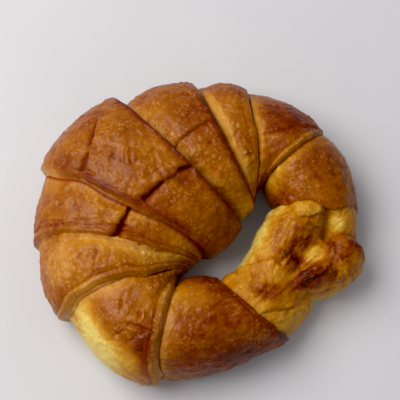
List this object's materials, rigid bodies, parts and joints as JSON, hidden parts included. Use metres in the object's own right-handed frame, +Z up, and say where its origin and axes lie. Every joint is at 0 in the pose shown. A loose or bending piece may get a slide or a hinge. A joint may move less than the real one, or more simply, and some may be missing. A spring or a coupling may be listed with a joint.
{
  "type": "ring-shaped croissant",
  "caption": "Baked croissant curved into a ring: a thick rolled belly with stepped bands on both limbs, and two tapered tips clasped side by side.",
  "frame": {"origin": "on the table, under the middle of the whole ring", "axes": "+X across the ring's longer width, +Y away from the side where the tips meet, +Z up"},
  "size_m": [0.1414, 0.1306, 0.0478],
  "materials": {
    "baked_crust": null
  },
  "bodies": {
    "root": {"croissant": "baked_crust"}
  },
  "joints": []
}
